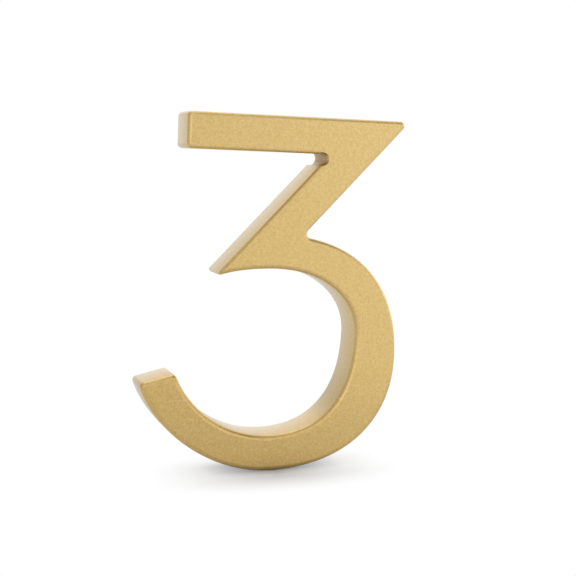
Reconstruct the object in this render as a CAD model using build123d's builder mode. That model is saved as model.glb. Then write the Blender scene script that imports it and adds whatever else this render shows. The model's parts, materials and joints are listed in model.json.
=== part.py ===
"""House number 3: one metal casting with soft front edges and two tapped stud holes in its back."""

from build123d import *

import os
from math import asin, atan2, cos, degrees, radians, sin, tan

# Driving dimensions, in millimetres and degrees. Heights are measured up from the bowl's lowest point,
# and reaches are measured sideways from the bowl's upright axis.
numeral_height = 100.0
numeral_depth = 12.5

bar_thickness = 10.1
bar_left_reach = 25.9
tip_reach = 39.1

diagonal_thickness = 10.5
# Share of the counter's upper left quarter, from its left side, at which the diagonal's foot lies
foot_share = 0.5615
# Width of the foot's blunt end
foot_end_width = 0.8

bowl_height = 67.1
bowl_waist_height = 32.3
bowl_right_reach = 37.8
bowl_left_reach = 38.2
bowl_top_thickness = 9.6
bowl_side_thickness = 12.5
bowl_bottom_thickness = 10.1
counter_waist_height = 38.5

tail_thickness = 9.1
tail_height = 26.45
tail_cut_angle = 14.6

# Share of the way to its corner that each quarter of an oval is drawn out. A round quarter has 0.55.
bowl_upper_fullness = 0.64
bowl_lower_right_fullness = 0.61
bowl_lower_left_fullness = 0.50
counter_upper_right_fullness = 0.58
counter_lower_right_fullness = 0.64
counter_lower_left_fullness = 0.55
counter_upper_left_fullness = 0.66

# Round relief in the corner between the bar and the diagonal
relief_radius = 1.9
relief_into_bar = 0.5
relief_into_diagonal = 1.0

crotch_radius = 1.4
front_edge_radius = 1.25
back_edge_chamfer = 0.3
# How much rounder an outline corner is than the front edge that runs around it
corner_extra_radius = 0.05

stud_diameter = 4.0
stud_hole_depth = 8.0
stud_mouth_chamfer = 0.5
drill_point_angle = 118.0

# How far a cutting outline reaches past the metal that it cuts
cut_margin = 5.0
# Two walls that turn by less than this where they meet are one smooth wall
smooth_turn = 2.0

# Counter of the bowl, from the bowl and its stroke
counter_right_reach = bowl_right_reach - bowl_side_thickness
counter_left_reach = bowl_left_reach - tail_thickness
counter_height = bowl_height - bowl_top_thickness

# The studs sit in the middle of the bar and of the bowl's bottom, and the origin lies between them
lower_stud_height = bowl_bottom_thickness / 2
upper_stud_height = numeral_height - bar_thickness / 2
origin_height = (lower_stud_height + upper_stud_height) / 2
bar_underside = numeral_height - bar_thickness

# Plane of the flat back, with its normal to the front and its heights from the bowl's lowest point
back_plane = Plane(origin=(0, 0, -origin_height), x_dir=(1, 0, 0), z_dir=(0, -1, 0))


def diagonal_left(height):
    """Reach of the diagonal's left edge at a height."""
    return foot.X + (height - foot.Y) * diagonal_run


def diagonal_right(height):
    """Reach of the diagonal's right edge at a height."""
    return tip.X - (tip.Y - height) * diagonal_run


def diagonal_middle(height):
    """Reach of the diagonal's centre line at a height."""
    return (diagonal_left(height) + diagonal_right(height)) / 2


def tail_cut_height(reach):
    """Height of the cut that ends the tail, at a reach."""
    tail_middle = bowl_left_reach - tail_thickness / 2
    return tail_height + (reach + tail_middle) * tan(radians(tail_cut_angle))


def quarter_points(start, end, corner, fullness):
    """Control points of one quarter of an oval, drawn out towards a corner."""
    return start, start + (corner - start) * fullness, end + (corner - end) * fullness, end


def draw_oval(right, left, top, bottom, waist, fullness):
    """Draw an oval about the bowl's axis as four quarters, from its right side down and around."""
    sides = [Vector(right, waist), Vector(0, bottom), Vector(-left, waist), Vector(0, top)]
    corners = [Vector(right, bottom), Vector(-left, bottom), Vector(-left, top), Vector(right, top)]
    for start, end, corner, share in zip(sides, sides[1:] + sides[:1], corners, fullness):
        Bezier(*quarter_points(start, end, corner, share))


def turn_at(edge, walls):
    """Angle by which the outline turns at the edge that two walls share."""
    first, second = [wall for wall in walls if any(edge.is_same(side) for side in wall.edges())]
    return first.normal_at(edge @ 0.5).get_angle(second.normal_at(edge @ 0.5))


def outline_corners(solid):
    """Upright edges where the outline turns sharply."""
    walls = solid.faces().filter_by(Axis.Y, reverse=True)
    return solid.edges().filter_by(Axis.Y).filter_by(lambda edge: turn_at(edge, walls) > smooth_turn)


# Foot of the diagonal, on the counter's upper left quarter
counter_quarter = Bezier(
    *quarter_points(
        Vector(-counter_left_reach, counter_waist_height),
        Vector(0, counter_height),
        Vector(-counter_left_reach, counter_height),
        counter_upper_left_fullness,
    ),
    mode=Mode.PRIVATE,
)
foot = counter_quarter @ foot_share

# Slope of the diagonal in radians, with its left edge on the foot and its right edge on the bar's tip
tip = Vector(tip_reach, numeral_height)
foot_to_tip = tip - foot
diagonal_angle = atan2(foot_to_tip.Y, foot_to_tip.X) + asin(diagonal_thickness / foot_to_tip.length)
diagonal_run = 1 / tan(diagonal_angle)
# Blunt end of the foot, square to the line that halves the foot's angle
counter_direction = counter_quarter % foot_share
counter_angle = atan2(counter_direction.Y, counter_direction.X)
foot_angle = (diagonal_angle + counter_angle) / 2
foot_setback = foot_end_width / 2 / tan((diagonal_angle - counter_angle) / 2)
foot_end = foot + Vector(cos(foot_angle), sin(foot_angle)) * foot_setback
# The diagonal is drawn down into the open counter, which then trims its foot
diagonal_end_height = foot.Y - cut_margin

# Centre of the relief, and the ends of the line that closes the corner until the relief is cut
relief_height = bar_underside - relief_radius + relief_into_bar
relief_setback = relief_radius - relief_into_diagonal
diagonal_normal = Vector(sin(diagonal_angle), -cos(diagonal_angle))
relief_centre = Vector(diagonal_left(relief_height) - relief_setback / diagonal_normal.X, relief_height)
diagonal_direction = Vector(cos(diagonal_angle), sin(diagonal_angle))
relief_on_diagonal = relief_centre + diagonal_normal * relief_setback - diagonal_direction * (relief_radius / 2)
relief_on_bar = Vector(relief_centre.X - relief_radius / 2, bar_underside)

with BuildPart() as numeral:
    with BuildSketch(back_plane):
        # Full bowl
        with BuildLine():
            draw_oval(
                right=bowl_right_reach,
                left=bowl_left_reach,
                top=bowl_height,
                bottom=0,
                waist=bowl_waist_height,
                fullness=(
                    bowl_lower_right_fullness,
                    bowl_lower_left_fullness,
                    bowl_upper_fullness,
                    bowl_upper_fullness,
                ),
            )
        make_face()

        # Mouth of the bowl, between the diagonal's foot and the end of the tail
        mouth_top = bowl_height + cut_margin
        mouth_left = -bowl_left_reach - cut_margin
        mouth_right = -counter_left_reach / 2
        with BuildLine():
            Polyline(
                (diagonal_middle(mouth_top), mouth_top),
                (diagonal_middle(diagonal_end_height), diagonal_end_height),
                (mouth_right, tail_cut_height(mouth_right)),
                (mouth_left, tail_cut_height(mouth_left)),
                (mouth_left, mouth_top),
                close=True,
            )
        make_face(mode=Mode.SUBTRACT)

        # Bar and diagonal
        with BuildLine():
            Polyline(
                (-bar_left_reach, numeral_height),
                tip,
                (diagonal_right(diagonal_end_height), diagonal_end_height),
                (diagonal_left(diagonal_end_height), diagonal_end_height),
                relief_on_diagonal,
                relief_on_bar,
                (-bar_left_reach, bar_underside),
                close=True,
            )
        make_face()

        # Counter of the bowl, which also trims the diagonal's foot
        with BuildLine():
            draw_oval(
                right=counter_right_reach,
                left=counter_left_reach,
                top=counter_height,
                bottom=bowl_bottom_thickness,
                waist=counter_waist_height,
                fullness=(
                    counter_lower_right_fullness,
                    counter_lower_left_fullness,
                    counter_upper_left_fullness,
                    counter_upper_right_fullness,
                ),
            )
        make_face(mode=Mode.SUBTRACT)
    extrude(amount=numeral_depth)

    # Crotch of the diagonal and the bowl
    crotch = back_plane.from_local_coords(Vector(diagonal_right(bowl_height), bowl_height))
    fillet(outline_corners(numeral).sort_by_distance(crotch)[:1], radius=crotch_radius)

    # Other outline corners, but for the foot and the two at the relief, which are cut later
    corners = outline_corners(numeral).sort_by_distance(back_plane.from_local_coords(relief_centre))[2:]
    corners = corners.sort_by_distance(back_plane.from_local_coords(foot))[1:]
    fillet(corners, radius=front_edge_radius + corner_extra_radius)

    # Soft front edges
    fillet(numeral.faces().sort_by(Axis.Y)[0].edges(), radius=front_edge_radius)

    # Foot's end and the round relief under the bar, with crisp front edges
    with BuildSketch(back_plane):
        with Locations(foot_end):
            Rectangle(cut_margin, cut_margin, rotation=degrees(foot_angle), align=(Align.MAX, Align.CENTER))
        with Locations(relief_centre):
            Circle(relief_radius)
    extrude(amount=numeral_depth, mode=Mode.SUBTRACT)

    # Lightly broken back edge
    chamfer(numeral.faces().sort_by(Axis.Y)[-1].edges(), length=back_edge_chamfer)

    # Tapped stud holes in the back
    stud_radius = stud_diameter / 2
    mouth_radius = stud_radius + stud_mouth_chamfer
    drill_point = stud_radius / tan(radians(drill_point_angle / 2))
    for height in (lower_stud_height, upper_stud_height):
        with BuildSketch(Plane(origin=(0, 0, height - origin_height), x_dir=(1, 0, 0), z_dir=(0, 0, 1))):
            with BuildLine():
                Polyline(
                    (0, 0),
                    (mouth_radius, 0),
                    (stud_radius, -stud_mouth_chamfer),
                    (stud_radius, -stud_hole_depth),
                    (0, -stud_hole_depth - drill_point),
                    close=True,
                )
            make_face()
        revolve(axis=Axis((0, 0, height - origin_height), (0, 1, 0)), mode=Mode.SUBTRACT)

numeral.part.label = "numeral"
os.makedirs("parts", exist_ok=True)
export_step(numeral.part, "parts/numeral.step")
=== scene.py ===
"""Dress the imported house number 3 as a satin gold casting that stands on a white studio floor.

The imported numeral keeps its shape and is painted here. The threads of its two stud holes are too fine for
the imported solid, so they are built here as pieces of their own.
"""

import json
import logging
import math
from collections.abc import Mapping
from dataclasses import dataclass
from enum import Enum
from typing import Any

import bpy
from mathutils import Matrix, Vector


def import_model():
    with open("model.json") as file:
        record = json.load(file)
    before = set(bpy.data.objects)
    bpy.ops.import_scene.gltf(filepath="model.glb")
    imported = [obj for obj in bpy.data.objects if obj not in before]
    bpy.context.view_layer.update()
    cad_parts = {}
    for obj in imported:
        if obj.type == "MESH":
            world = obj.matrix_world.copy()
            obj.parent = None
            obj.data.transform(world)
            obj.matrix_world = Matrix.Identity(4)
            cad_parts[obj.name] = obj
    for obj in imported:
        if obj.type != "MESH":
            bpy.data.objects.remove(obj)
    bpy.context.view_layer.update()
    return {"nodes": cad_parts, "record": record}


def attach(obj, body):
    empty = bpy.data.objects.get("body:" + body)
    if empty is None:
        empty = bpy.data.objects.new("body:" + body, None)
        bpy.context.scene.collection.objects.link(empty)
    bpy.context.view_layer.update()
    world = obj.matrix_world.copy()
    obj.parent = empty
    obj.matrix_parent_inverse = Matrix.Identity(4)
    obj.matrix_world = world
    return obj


LOG = logging.getLogger("house_number")
BODY = "root"
MILLIMETRE = 0.001

Colour = tuple[float, float, float]
Point = tuple[float, float, float]

BLACK: Colour = (0.0, 0.0, 0.0)
WHITE: Colour = (1.0, 1.0, 1.0)

# Mean level of a noise, and the samples that tell how open a place is
NOISE_MEAN = 0.5
OPENNESS_SAMPLES = 8


def opaque(colour: Colour) -> tuple[float, float, float, float]:
    """Colour with full opacity, as a node's socket takes it."""
    return (*colour, 1.0)


class Socket:
    """A value in a shader, on which Python's operators add Math nodes."""

    def __init__(self, sheet: "ShaderSheet", end: bpy.types.NodeSocket) -> None:
        """Wrap the output of a node that is on a sheet."""
        self.sheet = sheet
        self.end = end

    def __add__(self, other: "Socket | float") -> "Socket":
        """Sum of two values."""
        return self.sheet.maths("ADD", self, other)

    def __sub__(self, other: "Socket | float") -> "Socket":
        """This value less another."""
        return self.sheet.maths("SUBTRACT", self, other)

    def __rsub__(self, other: float) -> "Socket":
        """A number less this value."""
        return self.sheet.maths("SUBTRACT", other, self)

    def __mul__(self, other: "Socket | float") -> "Socket":
        """Product of two values."""
        return self.sheet.maths("MULTIPLY", self, other)

    def __pow__(self, other: "Socket | float") -> "Socket":
        """Power of this value."""
        return self.sheet.maths("POWER", self, other)

    def __abs__(self) -> "Socket":
        """Size of this value without its sign."""
        return self.sheet.maths("ABSOLUTE", self)

    __radd__ = __add__
    __rmul__ = __mul__


class ShaderSheet:
    """The nodes of one material or of the world."""

    def __init__(self, owner: bpy.types.Material | bpy.types.World) -> None:
        """Start with no nodes.

        Args:
            owner: The material or world that the nodes are for.
        """
        owner.use_nodes = True
        self.tree = owner.node_tree
        self.tree.nodes.clear()

    def node(
        self,
        kind: str,
        settings: Mapping[str, Any],
        sockets: Mapping[str | int, Any],
    ) -> bpy.types.Node:
        """Add one node.

        Args:
            kind: Blender's name for the type of node.
            settings: The node's own properties, which are set first.
            sockets: A value or a Socket for each input, by the input's name or place.

        Returns:
            The new node.
        """
        made = self.tree.nodes.new(kind)
        for name, value in settings.items():
            setattr(made, name, value)
        for place, value in sockets.items():
            if isinstance(value, Socket):
                self.tree.links.new(value.end, made.inputs[place])
            else:
                made.inputs[place].default_value = value
        return made

    def value(
        self,
        kind: str,
        settings: Mapping[str, Any],
        sockets: Mapping[str | int, Any],
        output: str | int = 0,
    ) -> Socket:
        """Add one node and give one of its outputs, by its name or place."""
        return Socket(self, self.node(kind, settings, sockets).outputs[output])

    def maths(self, operation: str, *values: Socket | float) -> Socket:
        """Result of a Math node on one value or two."""
        return self.value("ShaderNodeMath", {"operation": operation}, dict(enumerate(values)))

    def along(self, vector: Socket, direction: Point) -> Socket:
        """Part of a vector that lies along a direction of length 1."""
        settings = {"operation": "DOT_PRODUCT"}
        return self.value("ShaderNodeVectorMath", settings, {0: vector, 1: direction}, "Value")

    def split(self, vector: Socket) -> list[Socket]:
        """The three parts of a vector."""
        parts = self.node("ShaderNodeSeparateXYZ", {}, {0: vector})
        return [Socket(self, end) for end in parts.outputs]

    def rise(self, value: Socket, low: float, high: float) -> Socket:
        """Smooth step of a value.

        Args:
            value: What is stepped.
            low: Value at which the step leaves 0.
            high: Value at which it reaches 1.

        Returns:
            A value from 0 to 1.
        """
        settings = {"interpolation_type": "SMOOTHSTEP"}
        sockets = {"Value": value, "From Min": low, "From Max": high}
        return self.value("ShaderNodeMapRange", settings, sockets)

    def blend(self, share: Socket, first: Socket | Colour, second: Socket | Colour) -> Socket:
        """Mix two colours.

        Args:
            share: Share of the second colour, from 0 to 1.
            first: The colour at 0.
            second: The colour at 1.

        Returns:
            The mixed colour.
        """
        first, second = [c if isinstance(c, Socket) else opaque(c) for c in (first, second)]
        settings = {"data_type": "RGBA"}
        return self.value("ShaderNodeMix", settings, {"Factor": share, 6: first, 7: second}, 2)

    def openness(self, reach: float, own: bool) -> Socket:
        """How open a place is.

        Args:
            reach: How far around the place is looked.
            own: Whether only the object itself counts.

        Returns:
            1 where nothing is within reach, less in a recess.
        """
        settings = {"samples": OPENNESS_SAMPLES, "only_local": own}
        sockets = {"Distance": reach}
        return self.value("ShaderNodeAmbientOcclusion", settings, sockets, "AO")

    def noise(self, place: Socket, size: float, detail: float) -> Socket:
        """Soft noise from 0 to 1, with the size of its grain in metres and its number of finer layers."""
        sockets = {"Vector": place, "Scale": 1 / size, "Detail": detail}
        return self.value("ShaderNodeTexNoise", {}, sockets)


@dataclass(frozen=True)
class BareZinc:
    """Cut zinc alloy, without paint.

    Attributes:
        bright: Colour of its reflection where the cut is fresh.
        dull: Colour where the cut has dulled.
        roughness: Mean roughness of the cut.
        roughness_spread: How far the roughness varies with the marks of the tool.
        mark_size: Size of those marks.
    """

    bright: Colour = (0.64, 0.63, 0.61)
    dull: Colour = (0.5, 0.49, 0.46)
    roughness: float = 0.32
    roughness_spread: float = 0.2
    mark_size: float = 0.15 * MILLIMETRE

    def material(self) -> bpy.types.Material:
        """Make the material of a piece of bare zinc.

        Returns:
            The material.
        """
        made = bpy.data.materials.new("bare_zinc")
        sheet = ShaderSheet(made)
        place = sheet.value("ShaderNodeTexCoord", {}, {}, "Object")
        marks = sheet.noise(place, self.mark_size, detail=2.0)
        metal = sheet.value(
            "ShaderNodeBsdfPrincipled",
            {},
            {
                "Base Color": sheet.blend(marks, self.dull, self.bright),
                "Metallic": 1.0,
                "Roughness": (marks - NOISE_MEAN) * self.roughness_spread + self.roughness,
            },
        )
        sheet.node("ShaderNodeOutputMaterial", {}, {"Surface": metal})
        return made


@dataclass(frozen=True)
class StudPattern:
    """Where the two stud holes are bored in the back.

    Attributes:
        reach: Distance of each hole's axis from the frame's origin.
        radius: Radius of the bore.
        depth: Depth of the bore's straight wall.
        mouth_radius: Radius of the countersunk mouth.
        clear_depth: Depth that no hole reaches.
        paint_edge: Width over which the paint ends around a hole.
    """

    reach: float
    radius: float
    depth: float = 8.0 * MILLIMETRE
    mouth_radius: float = 2.5 * MILLIMETRE
    clear_depth: float = 10.0 * MILLIMETRE
    paint_edge: float = 0.05 * MILLIMETRE

    @classmethod
    def from_record(cls, record: Mapping[str, Any]) -> "StudPattern":
        """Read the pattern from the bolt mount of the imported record."""
        dims = next(m["dims"] for m in record["mounts"] if m["kind"] == "bolt_pattern")
        return cls(reach=dims["spacing_y_mm"] / 2 * MILLIMETRE, radius=dims["hole_r_mm"] * MILLIMETRE)


@dataclass(frozen=True)
class GoldPaint:
    """Satin gold paint of fine metal flakes under a clear coat.

    Attributes:
        dark: Colour of the darkest flakes.
        light: Colour of the lightest flakes.
        bare: The zinc that shows in the tapped holes.
        roughness: Mean roughness.
        roughness_spread: How far the roughness varies with the flakes.
        flake_size: Size of the flakes' grain.
        flake_share: Share of the flakes in the grain of the tone. The clouds have the rest.
        cloud_size: Size of the soft clouds in the paint.
        grain: Levels of the flakes and clouds between which the tone goes from dark to light.
        painted_light_side: Side towards which the paint's tone is painted lighter, as painted light.
        painted_light_reach: Distance to each side of the origin over which that painted light grows.
        painted_light_share: Share of that painted light in its tone.
        skin_size: Size of the ripples in the paint's skin.
        skin_height: Height of those ripples.
        coat_roughness: Roughness of the clear coat.
        coat_front: Weight of the coat at the front.
        coat_back: Weight of the coat at the back, to which it runs down the walls while it dries.
        back_depths: Depths between which the coat thickens and the painted reflection grows.
        backdrop_reflection_colour: Colour of a painted reflection of the white backdrop, laid on at the
            back of the walls.
        backdrop_reflection_share: Share of that painted reflection at the back edge.
        painted_recess_shade: Colour of the painted shade in narrow recesses.
        recess_roughness: How much rougher the paint is in those recesses.
        recess: Reach over which a recess counts as narrow.
        clear: Openness between which that painted shade gives way to the plain paint.
    """

    dark: Colour = (0.607, 0.408, 0.126)
    light: Colour = (0.823, 0.609, 0.266)
    bare: BareZinc = BareZinc()
    roughness: float = 0.36
    roughness_spread: float = 0.1
    flake_size: float = 0.3 * MILLIMETRE
    flake_share: float = 0.6
    cloud_size: float = 0.9 * MILLIMETRE
    grain: tuple[float, float] = (0.3, 0.7)
    painted_light_side: Point = (0.7, 0.0, 0.714)
    painted_light_reach: float = 60.0 * MILLIMETRE
    painted_light_share: float = 0.36
    skin_size: float = 0.5 * MILLIMETRE
    skin_height: float = 0.02 * MILLIMETRE
    coat_roughness: float = 0.2
    coat_front: float = 0.3
    coat_back: float = 1.0
    back_depths: tuple[float, float] = (-12.0 * MILLIMETRE, 1.0 * MILLIMETRE)
    backdrop_reflection_colour: Colour = (0.8, 0.74, 0.62)
    backdrop_reflection_share: float = 0.3
    painted_recess_shade: Colour = (0.34, 0.2, 0.02)
    recess_roughness: float = 0.15
    recess: float = 4.0 * MILLIMETRE
    clear: tuple[float, float] = (0.35, 0.9)

    def material(self, studs: StudPattern) -> bpy.types.Material:
        """Make the paint, with bare metal in the stud holes.

        Args:
            studs: The stud holes, which are tapped after painting.

        Returns:
            The material.
        """
        made = bpy.data.materials.new("gold_paint")
        sheet = ShaderSheet(made)
        place = sheet.value("ShaderNodeTexCoord", {}, {}, "Object")
        flakes = sheet.noise(place, self.flake_size, detail=1.0)
        _, depth, _ = sheet.split(place)
        # Towards the back of the walls, where the coat thickens and a paler painted reflection is laid on
        backward = sheet.rise(depth, *self.back_depths)
        # Painted shade: narrow recesses of the numeral itself turn brown and lose their coat
        unshaded = sheet.rise(sheet.openness(self.recess, own=True), *self.clear)
        tapped = self.tapped(sheet, place, studs)

        # Gold, paler at the back of the walls by a painted reflection of the backdrop,
        # brown in the recess by painted shade, and bare in the holes
        fresh = sheet.blend(self.tone(sheet, place, flakes), self.dark, self.light)
        with_reflection = sheet.blend(backward * self.backdrop_reflection_share, fresh, self.backdrop_reflection_colour)
        gold = sheet.blend(unshaded, self.painted_recess_shade, with_reflection)
        zinc = sheet.blend(flakes, self.bare.dull, self.bare.bright)

        coat = (backward * (self.coat_back - self.coat_front) + self.coat_front) * unshaded
        flaked = (flakes - NOISE_MEAN) * self.roughness_spread + self.roughness
        skin = sheet.noise(place, self.skin_size, detail=2.0)
        bump = {"Distance": self.skin_height, "Height": skin}
        paint = sheet.value(
            "ShaderNodeBsdfPrincipled",
            {},
            {
                "Base Color": sheet.blend(tapped, gold, zinc),
                "Metallic": 1.0,
                "Roughness": flaked + (1 - unshaded) * self.recess_roughness,
                "Coat Weight": coat * (1 - tapped),
                "Coat Roughness": self.coat_roughness,
                "Normal": sheet.value("ShaderNodeBump", {}, bump, "Normal"),
            },
        )
        sheet.node("ShaderNodeOutputMaterial", {}, {"Surface": paint})
        return made

    def tone(self, sheet: ShaderSheet, place: Socket, flakes: Socket) -> Socket:
        """Tone of the paint from its grain and from painted light that is lighter towards one side.

        Args:
            sheet: The sheet to work on.
            place: Coordinates in the shared frame.
            flakes: The noise of the flakes.

        Returns:
            0 where the paint is darkest, 1 where it is lightest.
        """
        clouds = sheet.noise(place, self.cloud_size, detail=2.0)
        grain = sheet.rise(flakes * self.flake_share + clouds * (1 - self.flake_share), *self.grain)
        # Painted light: the tone grows lighter towards the upper right and darker towards the lower left
        light_gradient = sheet.rise(sheet.along(place, self.painted_light_side), -self.painted_light_reach, self.painted_light_reach)
        return grain * (1 - self.painted_light_share) + light_gradient * self.painted_light_share

    def tapped(self, sheet: ShaderSheet, place: Socket, studs: StudPattern) -> Socket:
        """Mask of the stud holes.

        Args:
            sheet: The sheet to work on.
            place: Coordinates in the shared frame.
            studs: The stud holes.

        Returns:
            1 in the holes, 0 elsewhere.
        """
        across, depth, height = sheet.split(place)
        from_axis = (across**2 + (abs(height) - studs.reach) ** 2) ** 0.5
        inside = 1 - sheet.rise(from_axis, studs.mouth_radius, studs.mouth_radius + studs.paint_edge)
        return inside * sheet.rise(depth, -studs.clear_depth - studs.paint_edge, -studs.clear_depth)


@dataclass
class Numeral:
    """The cast numeral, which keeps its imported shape.

    Attributes:
        node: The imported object.
        studs: The stud holes in its back.
        paint: Its finish.
    """

    node: bpy.types.Object
    studs: StudPattern
    paint: GoldPaint = GoldPaint()

    def dress(self) -> bpy.types.Object:
        """Paint the numeral.

        Returns:
            The painted object.
        """
        material = self.paint.material(self.studs)
        for slot in self.node.material_slots:
            slot.material = material
        return self.node


class StudHole(Enum):
    """The two stud holes, by the side of the origin on which each lies."""

    LOWER = -1
    UPPER = 1


@dataclass
class StudThread:
    """Thread of one stud hole: a ridge of the metric form that winds along the bore.

    Attributes:
        hole: Which hole.
        studs: The pattern of the holes.
        metal: The bare metal of the ridge.
        pitch: Rise of one turn.
        height_share: Height of the ridge, as a share of the thread's sharp triangle.
        root_share: Half of the ridge's width at its root, as a share of the pitch.
        crest_share: Half of its width at its crest, as a share of the pitch.
        start: Depth at which the thread starts.
        fade: Turns over which each end runs out.
        steps: Steps in a turn.
        root_cover: How far the ridge's root lies in the wall.
    """

    hole: StudHole
    studs: StudPattern
    metal: bpy.types.Material
    pitch: float = 0.7 * MILLIMETRE
    height_share: float = 5 / 8
    root_share: float = 7 / 16
    crest_share: float = 1 / 8
    start: float = 0.6 * MILLIMETRE
    fade: float = 0.75
    steps: int = 48
    root_cover: float = 0.03 * MILLIMETRE

    @property
    def height(self) -> float:
        """Height of the ridge, whose sharp triangle has three equal sides."""
        return self.height_share * math.sqrt(3) / 2 * self.pitch

    @property
    def turns(self) -> float:
        """Turns that fit in the bore."""
        return (self.studs.depth - self.start) / self.pitch - 1

    def section(self, turn: float) -> list[Vector]:
        """Corners of the ridge at one turn.

        Args:
            turn: Turns from the start of the thread.

        Returns:
            Its four corners, from the mouth inwards.
        """
        share = min(1.0, turn / self.fade, (self.turns - turn) / self.fade)
        root = self.studs.radius + self.root_cover
        crest = self.studs.radius - self.height * max(share, 0.0)
        angle = 2 * math.pi * turn
        outward = Vector((math.cos(angle), 0, math.sin(angle)))
        depth = self.start + self.pitch * (turn + 0.5)
        centre = Vector((0, -depth, self.hole.value * self.studs.reach))
        profile = (
            (root, self.root_share),
            (crest, self.crest_share),
            (crest, -self.crest_share),
            (root, -self.root_share),
        )
        return [centre + outward * radius + Vector((0, rise * self.pitch, 0)) for radius, rise in profile]

    def build(self) -> bpy.types.Object:
        """Build the ridge and fix it to the numeral.

        Returns:
            The ridge.
        """
        count = round(self.turns * self.steps)
        rings = [self.section(self.turns * step / count) for step in range(count + 1)]
        sides = len(rings[0])
        points = [corner for ring in rings for corner in ring]

        # Two closed ends, and the sides from each section to the next
        faces = [tuple(range(sides)), tuple(range(count * sides + sides - 1, count * sides - 1, -1))]
        for step in range(count):
            for side in range(sides):
                here = step * sides + side
                beside = step * sides + (side + 1) % sides
                faces.append((here, here + sides, beside + sides, beside))
        mesh = bpy.data.meshes.new(f"thread_{self.hole.name.lower()}")
        mesh.from_pydata(points, [], faces)
        mesh.validate()
        piece = bpy.data.objects.new(mesh.name, mesh)
        bpy.context.scene.collection.objects.link(piece)
        mesh.materials.append(self.metal)
        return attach(piece, BODY)


@dataclass(frozen=True)
class PhotoCamera:
    """The camera, at the photograph's viewing angle.

    Attributes:
        target: Point in the middle of the picture.
        distance: Distance from that point.
        yaw: Turn of the view to the right, in degrees.
        pitch: Tilt of the view down, in degrees.
        roll: Turn of the camera about its view, in degrees.
        lens: Focal length in millimetres.
        sensor: Width of the sensor in millimetres.
    """

    target: Point = (8.287 * MILLIMETRE, 0.0, 0.859 * MILLIMETRE)
    distance: float = 361.014 * MILLIMETRE
    yaw: float = 18.218
    pitch: float = 6.002
    roll: float = 2.37
    lens: float = 77.66
    sensor: float = 36.0

    def build(self) -> bpy.types.Object:
        """Make the camera and let the scene use it.

        Returns:
            The camera.
        """
        yaw, pitch, roll = [math.radians(angle) for angle in (self.yaw, self.pitch, self.roll)]
        level = math.cos(pitch)
        view = Vector((math.sin(yaw) * level, math.cos(yaw) * level, -math.sin(pitch)))
        turn = view.to_track_quat("-Z", "Y").to_matrix() @ Matrix.Rotation(roll, 3, "Z")
        data = bpy.data.cameras.new("photo_camera")
        data.lens = self.lens
        data.sensor_width = self.sensor
        camera = bpy.data.objects.new(data.name, data)
        bpy.context.scene.collection.objects.link(camera)
        camera.matrix_world = Matrix.Translation(Vector(self.target) - view * self.distance) @ turn.to_4x4()
        bpy.context.scene.camera = camera
        return camera


@dataclass(frozen=True)
class SoftLight:
    """A soft round light in the walls of the room.

    Attributes:
        towards: Direction in which it lies.
        full: Angle from its middle within which it is full, in degrees.
        faded: Angle at which it has faded away, in degrees.
        brightness: What it adds to the walls. A dark card takes some away.
    """

    towards: Point
    full: float
    faded: float
    brightness: float

    def shine(self, sheet: ShaderSheet, direction: Socket) -> Socket:
        """Brightness that it adds in a direction.

        Args:
            sheet: The world's sheet.
            direction: Direction that is looked at.

        Returns:
            The added brightness.
        """
        nearness = sheet.along(direction, tuple(Vector(self.towards).normalized()))
        full, faded = [math.cos(math.radians(angle)) for angle in (self.full, self.faded)]
        return sheet.rise(nearness, faded, full) * self.brightness


class SoftPanel(Enum):
    """The soft lights of the room, and two dark cards that keep the soft edges from glaring."""

    BACKDROP = SoftLight((0.15, 0.98, 0.05), full=40.0, faded=65.0, brightness=0.33)
    CEILING = SoftLight((0.0, 0.35, 0.94), full=12.0, faded=30.0, brightness=0.7)
    RIGHT_FRONT = SoftLight((0.9, -0.43, 0.05), full=39.0, faded=49.0, brightness=0.9)
    FRONT_HIGH = SoftLight((0.15, -0.7, 0.7), full=12.0, faded=32.0, brightness=0.3)
    LEFT_FRONT = SoftLight((-0.45, -0.88, 0.1), full=10.0, faded=30.0, brightness=0.8)
    FAR_RIGHT = SoftLight((1.0, 0.3, 0.1), full=15.0, faded=45.0, brightness=0.4)
    LEFT_CARD = SoftLight((-0.55, 0.77, 0.33), full=10.0, faded=28.0, brightness=-0.4)
    RIGHT_CARD = SoftLight((0.75, -0.38, 0.5), full=24.0, faded=38.0, brightness=-0.7)


@dataclass(frozen=True)
class StudioRoom:
    """The room around the floor: plain walls with soft panels of light.

    Attributes:
        walls: Brightness of the walls. With the backdrop's panel they come to 1, which is white.
    """

    walls: float = 0.67

    def build(self) -> bpy.types.World:
        """Make the room's light.

        Returns:
            The world that holds it.
        """
        world = bpy.data.worlds.new("studio_room")
        bpy.context.scene.world = world
        sheet = ShaderSheet(world)
        direction = sheet.value("ShaderNodeTexCoord", {}, {}, "Generated")
        strength = sum((panel.value.shine(sheet, direction) for panel in SoftPanel), self.walls)
        sockets = {"Color": opaque(WHITE), "Strength": strength}
        light = sheet.value("ShaderNodeBackground", {}, sockets)
        sheet.node("ShaderNodeOutputWorld", {}, {"Surface": light})
        return world


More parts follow.
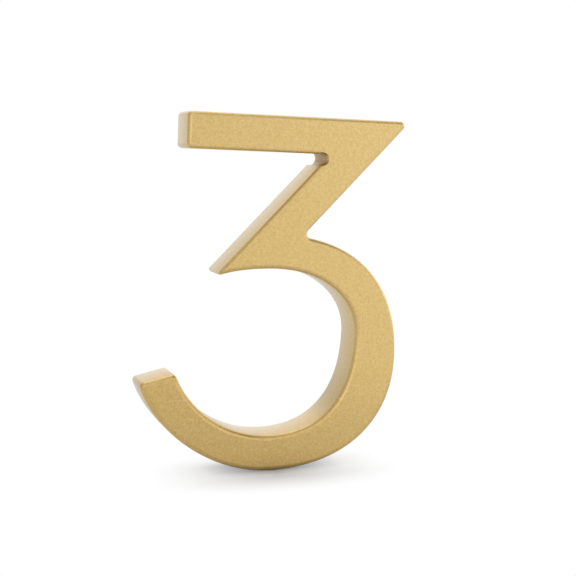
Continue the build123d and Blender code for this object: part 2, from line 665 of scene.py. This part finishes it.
@dataclass(frozen=True)
class StudioFloor:
    """White floor that the bowl stands on.

    Attributes:
        lean: How far the floor's upright leans to the left in the numeral's frame, in degrees.
        reach: Half of its width.
        whiteness: Share of its light that it sends back.
        fade_start: Distance from the shade's middle line at which it starts to fade to plain white.
        fade_end: Distance at which it is plain white.
        fade_width: How many times further it fades to both sides than to the front and back.
        fade_forward: How far the shade's middle line lies to the front of the line of contact.
        reflected: Share of that plain white that the metal shows.
        pool_start: Distance at which a pool of light on the floor starts, which only the metal shows.
        pool_end: Distance at which that pool is plain white.
        pool_towards: Direction in which that pool lies on the floor.
        core: Reach of the painted dark core of the shadow under the numeral.
    """

    lean: float = 2.48
    reach: float = 30.0
    whiteness: float = 0.74
    fade_start: float = -6.0 * MILLIMETRE
    fade_end: float = 18.0 * MILLIMETRE
    fade_width: float = 2.1
    fade_forward: float = 5.0 * MILLIMETRE
    reflected: float = 0.4
    pool_start: float = 35.0 * MILLIMETRE
    pool_end: float = 130.0 * MILLIMETRE
    pool_towards: Point = (0.7, -0.714, 0.0)
    core: float = 4.5 * MILLIMETRE

    def build(self, numeral: bpy.types.Object) -> bpy.types.Object:
        """Lay the floor under the numeral.

        Args:
            numeral: What stands on the floor.

        Returns:
            The floor.
        """
        turn = Matrix.Rotation(-math.radians(self.lean), 4, "Y")
        upright = turn @ Vector((0, 0, 1))
        points = [vertex.co for vertex in numeral.data.vertices]
        contact = min(points, key=upright.dot).copy()
        depths = [point.y for point in points]
        contact.y = (min(depths) + max(depths)) / 2
        corners = [(x * self.reach, y * self.reach, 0) for x, y in ((-1, -1), (1, -1), (1, 1), (-1, 1))]
        mesh = bpy.data.meshes.new("studio_floor")
        mesh.from_pydata(corners, [], [(0, 1, 2, 3)])
        mesh.materials.append(self.material((max(depths) - min(depths)) / 2))
        floor = bpy.data.objects.new(mesh.name, mesh)
        bpy.context.scene.collection.objects.link(floor)
        floor.matrix_world = Matrix.Translation(contact) @ turn
        return floor

    def material(self, contact_reach: float) -> bpy.types.Material:
        """Make the floor's white, which keeps the shadow and fades into the backdrop.

        Args:
            contact_reach: Half of the length of the line of contact, which lies along the floor's Y axis.

        Returns:
            The material.
        """
        made = bpy.data.materials.new("white_floor")
        sheet = ShaderSheet(made)
        # Painted shadow: the floor is mixed towards black where the numeral is near, on top of the cast
        # shadow
        shadow = sheet.value("ShaderNodeBsdfDiffuse", {}, {"Color": opaque(BLACK)})
        paper = sheet.value("ShaderNodeBsdfDiffuse", {}, {"Color": opaque((self.whiteness,) * 3)})
        open_share = sheet.openness(self.core, own=False)
        matte = sheet.value("ShaderNodeMixShader", {}, {0: open_share, 1: shadow, 2: paper})
        plain = sheet.value("ShaderNodeEmission", {}, {"Strength": 1.0})
        share = self.plain_share(sheet, contact_reach)
        mixed = sheet.value("ShaderNodeMixShader", {}, {0: share, 1: matte, 2: plain})
        sheet.node("ShaderNodeOutputMaterial", {}, {"Surface": mixed})
        return made

    def plain_share(self, sheet: ShaderSheet, contact_reach: float) -> Socket:
        """Share of the plain white in the floor.

        Args:
            sheet: The sheet to work on.
            contact_reach: Half of the length of the line of contact.

        Returns:
            0 where the floor is matte and keeps the shadow, 1 where it is plain white.
        """
        place = sheet.value("ShaderNodeTexCoord", {}, {}, "Object")
        across, lengthwise, _ = sheet.split(place)
        past_end = sheet.maths("MAXIMUM", abs(lengthwise + self.fade_forward) - contact_reach, 0.0)
        distance = ((across * (1 / self.fade_width)) ** 2 + past_end**2) ** 0.5
        white = sheet.rise(distance, self.fade_start, self.fade_end)
        pool = sheet.rise(sheet.along(place, self.pool_towards), self.pool_start, self.pool_end)
        shown = sheet.maths("MAXIMUM", pool, white * self.reflected)

        # The camera sees the white itself, and mirrored rays see the share that the metal shows
        path = sheet.node("ShaderNodeLightPath", {}, {})
        kinds = ("Is Camera Ray", "Is Glossy Ray", "Is Transmission Ray")
        camera, glossy, transmitted = [Socket(sheet, path.outputs[kind]) for kind in kinds]
        mirrored = sheet.maths("MAXIMUM", glossy, transmitted)
        return sheet.maths("MAXIMUM", camera * white, mirrored * shown)


@dataclass(frozen=True)
class Studio:
    """Everything around the numeral.

    Attributes:
        camera: The camera.
        room: The light of the room.
        floor: The floor.
    """

    camera: PhotoCamera = PhotoCamera()
    room: StudioRoom = StudioRoom()
    floor: StudioFloor = StudioFloor()

    def build(self, numeral: bpy.types.Object) -> bpy.types.Object:
        """Set up the studio around the numeral.

        Args:
            numeral: What stands in the studio.

        Returns:
            The floor.
        """
        bpy.context.scene.view_settings.view_transform = "Standard"
        self.camera.build()
        self.room.build()
        return self.floor.build(numeral)


def report(piece: bpy.types.Object) -> None:
    """Report one finished piece."""
    LOG.info("%s: %d vertices", piece.name, len(piece.data.vertices))


def main() -> None:
    """Dress the numeral and set up its studio."""
    logging.basicConfig(level=logging.INFO, format="%(message)s")
    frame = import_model()
    studs = StudPattern.from_record(frame["record"])
    numeral = Numeral(frame["nodes"]["numeral"], studs).dress()
    report(numeral)
    bare_zinc = BareZinc().material()
    for hole in StudHole:
        report(StudThread(hole, studs, bare_zinc).build())
    report(Studio().build(numeral))


if __name__ == "__main__":
    main()
